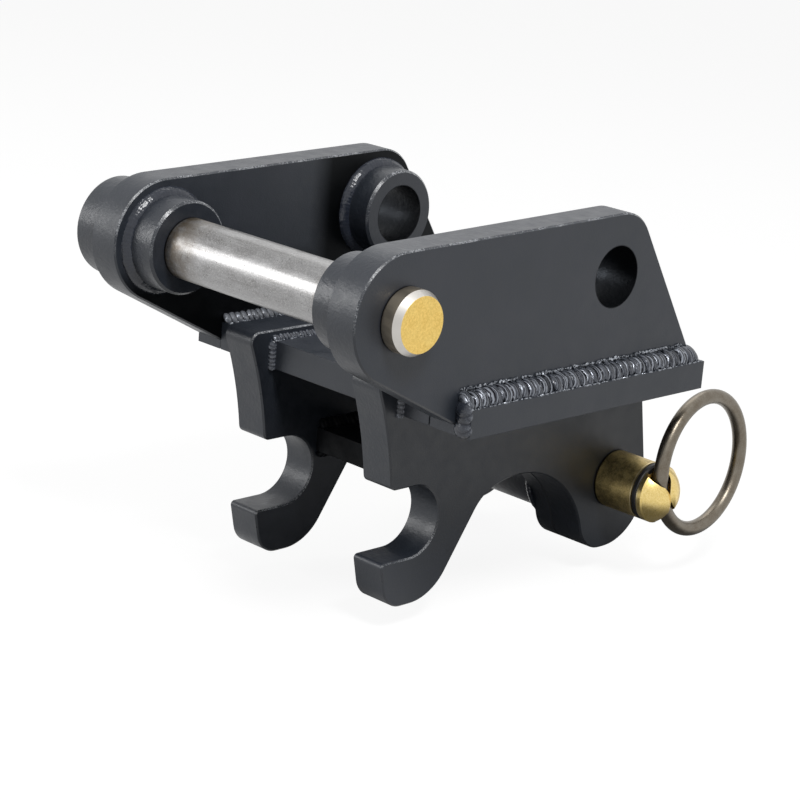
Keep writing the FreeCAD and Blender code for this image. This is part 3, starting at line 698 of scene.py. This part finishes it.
for side, sign in (("right", 1), ("left", -1)):
    rings = []
    for boss in ("front_boss_", "rear_boss_"):
        low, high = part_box(boss + side)
        face_x = sign * max(abs(low.x), abs(high.x))
        rings.append((face_x, -sign, (high.z - low.z) / 2, ((low.y + high.y) / 2, (low.z + high.z) / 2)))
    round_bead("boss_welds_" + side, rings, BOSS_LEG, 61 + sign)
low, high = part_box("outer_boss_left")
round_bead("outer_boss_weld", [(high.x, -1, (high.z - low.z) / 2, (0, 0))], BOSS_LEG, 65)
low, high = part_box("lock_pin_tube")
middle = ((low.y + high.y) / 2, (low.z + high.z) / 2)
tube_radius = (high.z - low.z) / 2
round_bead("tube_welds", [(low.x, 1, tube_radius, middle), (high.x, -1, tube_radius, middle)], TUBE_LEG, 67)

# The spreader's welds: short fillets over and under both ends of the bar, laid from behind and coated
# as dull as the bar is, in the same painted shade.
SPREADER_PITCH = 0.003
SPREADER_SINK = 0.002
SPREADER_PUDDLE = (0.0034, 0.0035, 0.0018)
SPREADER_GRAIN = 0.0004
low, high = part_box("spreader_bar")
weld_low, weld_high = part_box("spreader_welds")
places = []
for face_x, away in ((low.x, 1), (high.x, -1)):
    for z, way in ((high.z, 1), (low.z, -1)):
        places += straight_run(Vector((face_x, weld_low.y, z)), Vector((face_x, weld_high.y, z)),
                               Vector((away, 0, 0)), rise * way, SPREADER_PITCH, SPREADER_SINK)
bead = melted_run("spreader_welds_bead", places, SPREADER_PUDDLE, SPREADER_GRAIN, 71, shaded_recess_coat)
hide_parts("spreader_welds")

# The hitch pin: ground steel bar, oiled, with a brown stain by the bosses and fine marks along it.
# Its right end is chamfered and carries a gold zinc finish on its face.
STEEL_DARK = (0.225, 0.222, 0.222, 1)
STEEL_PALE = (0.30, 0.298, 0.30, 1)
STEEL_LINE = (0.135, 0.13, 0.125, 1)
STEEL_GLINT = (0.46, 0.46, 0.45, 1)
STEEL_PIT = (0.07, 0.065, 0.06, 1)
STEEL_STAIN = (0.105, 0.080, 0.050, 1)
STEEL_STUB = (0.46, 0.40, 0.31, 1)
STEEL_CHAMFER = (0.55, 0.53, 0.50, 1)
PIN_CONTACT_SHADE = (0.012, 0.011, 0.010, 1)
GOLD_DEEP = (0.70, 0.505, 0.15, 1)
GOLD_PALE = (0.86, 0.645, 0.225, 1)
STAIN_LEFT_X = (-0.030, -0.0545)
STAIN_LEFT_END_X = (-0.078, -0.066)
STAIN_RIGHT_X = (0.046, 0.0555)
BOSS_LINE_X = 0.0553
EAR_LINE_X = 0.0915
CONTACT_SHADE_LINE = (0.0011, 0.0004)
THIN_CONTACT_SHADE_LINE = (0.0009, 0.0003)
STUB_LENGTH = 0.0125
CHAMFER_LENGTH = 0.0036
pin_steel, tree, shader, place = new_finish("ground_steel")
x = add(tree, "ShaderNodeSeparateXYZ", {0: place}).outputs[0]
end_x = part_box("hitch_pin")[1].x
lines = drawn_noise(tree, place, 0.06, 0.0016, 0.0016, 4.0)
mottle = drawn_noise(tree, place, 0.012, 0.005, 0.005, 4.0)
grit = noise(tree, place, 0.0007, 3, 0.75)
steel = tint(tree, remap(tree, mottle, 0.35, 0.65), STEEL_DARK, STEEL_PALE)
steel = tint(tree, remap(tree, lines, 0.5, 0.75, 0.0, 0.55), steel, STEEL_LINE)
steel = tint(tree, remap(tree, grit, 0.48, 0.70, 0.0, 0.75), steel, STEEL_GLINT)
pits = remap(tree, noise(tree, place, 0.0012, 2, 0.6), 0.65, 0.72, 0.0, 0.75)
steel = tint(tree, pits, steel, STEEL_PIT)

# Brown stain beside the inner bosses, then the stub beyond the right ear, and lines of painted contact
# shade where the pin goes into the bosses and comes out of the ear.
by_boss = combine(tree, "MAXIMUM", remap(tree, x, *STAIN_LEFT_X), remap(tree, x, *STAIN_RIGHT_X, 0.0, 0.5))
stain = times(tree, by_boss, remap(tree, noise(tree, place, 0.006, 3, 0.6), 0.36, 0.58, 0.35, 0.95),
              remap(tree, x, *STAIN_LEFT_END_X))
steel = tint(tree, stain, steel, STEEL_STAIN)
stub = remap(tree, x, end_x - STUB_LENGTH, end_x - STUB_LENGTH + 0.003)
steel = tint(tree, times(tree, stub, 0.8), steel, STEEL_STUB)
# Painted contact shade: dark lines where the pin meets the bosses and the right ear.
contact_shade = combine(tree, "MAXIMUM", band(tree, combine(tree, "ABSOLUTE", x), BOSS_LINE_X, *CONTACT_SHADE_LINE),
                 band(tree, x, EAR_LINE_X, *THIN_CONTACT_SHADE_LINE))
steel = tint(tree, times(tree, contact_shade, 0.95), steel, PIN_CONTACT_SHADE)

chamfer = remap(tree, x, end_x - CHAMFER_LENGTH, end_x - CHAMFER_LENGTH + 0.0002)
steel = tint(tree, chamfer, steel, STEEL_CHAMFER)
speckle = noise(tree, place, 0.0009, 3, 0.7)
gold = tint(tree, remap(tree, speckle, 0.35, 0.65), GOLD_DEEP, GOLD_PALE)
on_end = remap(tree, x, end_x - 0.00012, end_x - 0.00006)
link(tree, tint(tree, on_end, steel, gold), shader, "Base Color")
shader.inputs["Metallic"].default_value = 1.0
gloss = combine(tree, "ADD", remap(tree, mottle, 0.3, 0.7, 0.27, 0.40), times(tree, stain, 0.25))
link(tree, combine(tree, "ADD", gloss, times(tree, on_end, 0.2)), shader, "Roughness")
height = combine(tree, "ADD", times(tree, lines, 0.5), times(tree, speckle, 0.5))
roughen(tree, shader, height, 0.5, 0.0001)
dress("hitch_pin", pin_steel)

# The set screw that holds the hitch pin: a steel socket screw, blackened in a hot bath, and turned into
# the tapped hole of the left outer boss.
OXIDE_DARK = (0.016, 0.016, 0.017, 1)
OXIDE_PALE = (0.035, 0.034, 0.033, 1)
black_oxide, tree, shader, place = new_finish("black_oxide")
link(tree, tint(tree, noise(tree, place, 0.002, 3), OXIDE_DARK, OXIDE_PALE), shader, "Base Color")
shader.inputs["Metallic"].default_value = 0.6
link(tree, remap(tree, noise(tree, place, 0.001, 2), 0.3, 0.7, 0.35, 0.5), shader, "Roughness")
dress("pin_set_screw", black_oxide)

# The lock pin: turned steel under yellow zinc, dull along its shaft and polished on its domed head,
# with a painted highlight on the turned edges beside its O-ring.
ZINC_DEEP = (0.33, 0.245, 0.095, 1)
ZINC_PALE = (0.56, 0.43, 0.18, 1)
ZINC_GLINT = (0.74, 0.60, 0.29, 1)
HEAD_DEEP = (0.72, 0.535, 0.18, 1)
HEAD_PALE = (0.88, 0.69, 0.30, 1)
TURNED_EDGE_HIGHLIGHT = (0.80, 0.68, 0.40, 1)
LOCK_CONTACT_SHADE = (0.012, 0.010, 0.008, 1)
ring_low, ring_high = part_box("lock_pin_o_ring")
plate_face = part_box("hook_plate_right")[1].x
zinc, tree, shader, place = new_finish("yellow_zinc")
x = add(tree, "ShaderNodeSeparateXYZ", {0: place}).outputs[0]
mottle = noise(tree, place, 0.0035, 4, 0.65)
fine = noise(tree, place, 0.0008, 3, 0.7)
lathe = drawn_noise(tree, place, 0.0005, 0.02, 0.02, 2.0)
shaft = tint(tree, remap(tree, mottle, 0.38, 0.62), ZINC_DEEP, ZINC_PALE)
shaft = tint(tree, remap(tree, fine, 0.45, 0.7, 0.0, 0.7), shaft, ZINC_GLINT)
head = tint(tree, remap(tree, fine, 0.35, 0.65), HEAD_DEEP, HEAD_PALE)
on_head = remap(tree, x, ring_high.x - 0.0001, ring_high.x + 0.0001)
colour = tint(tree, on_head, shaft, head)

# Painted highlights on the turned edges on both sides of the O-ring, and a line of painted contact shade
# by the hook plate.
for edge_x, way in ((ring_low.x, -1), (ring_high.x, 1)):
    line = band(tree, x, edge_x + way * 0.0004, 0.0005, 0.0002, 0.8)
    colour = tint(tree, line, colour, TURNED_EDGE_HIGHLIGHT)
# Painted contact shade where the lock pin comes out of the hook plate.
contact_shade = band(tree, x, plate_face + 0.0003, *CONTACT_SHADE_LINE)
colour = tint(tree, times(tree, contact_shade, 0.95), colour, LOCK_CONTACT_SHADE)
link(tree, colour, shader, "Base Color")
shader.inputs["Metallic"].default_value = 1.0
dullness = remap(tree, mottle, 0.3, 0.7, 0.36, 0.48)
link(tree, combine(tree, "SUBTRACT", dullness, times(tree, on_head, 0.1)), shader, "Roughness")
roughen(tree, shader, combine(tree, "ADD", lathe, fine), 0.22, 0.0001)
dress("lock_pin", zinc)

# The O-ring: moulded black rubber, stretched over the lock pin's head and seated in its groove. It keeps
# grease in and dirt out.
RUBBER_DARK = (0.005, 0.005, 0.005, 1)
RUBBER_PALE = (0.010, 0.010, 0.011, 1)
rubber, tree, shader, place = new_finish("o_ring_rubber")
link(tree, tint(tree, noise(tree, place, 0.001, 3), RUBBER_DARK, RUBBER_PALE), shader, "Base Color")
link(tree, remap(tree, noise(tree, place, 0.0012, 2), 0.3, 0.7, 0.4, 0.55), shader, "Roughness")
dress("lock_pin_o_ring", rubber)

# The pull ring: one closed loop of drawn steel wire, bent through the lock pin's cross hole and welded
# shut. It is satin and brownish, with fine glints.
WIRE_DARK = (0.145, 0.120, 0.090, 1)
WIRE_PALE = (0.205, 0.183, 0.150, 1)
WIRE_GLINT = (0.26, 0.24, 0.205, 1)
wire, tree, shader, place = new_finish("ring_wire")
mottle = noise(tree, place, 0.005, 4, 0.6)
fine = noise(tree, place, 0.0007, 3, 0.7)
colour = tint(tree, remap(tree, mottle, 0.3, 0.7), WIRE_DARK, WIRE_PALE)
colour = tint(tree, remap(tree, fine, 0.45, 0.7, 0.0, 0.5), colour, WIRE_GLINT)
link(tree, colour, shader, "Base Color")
shader.inputs["Metallic"].default_value = 1.0
link(tree, remap(tree, mottle, 0.3, 0.7, 0.27, 0.38), shader, "Roughness")
roughen(tree, shader, fine, 0.3, 0.0001)
dress("pull_ring", wire)
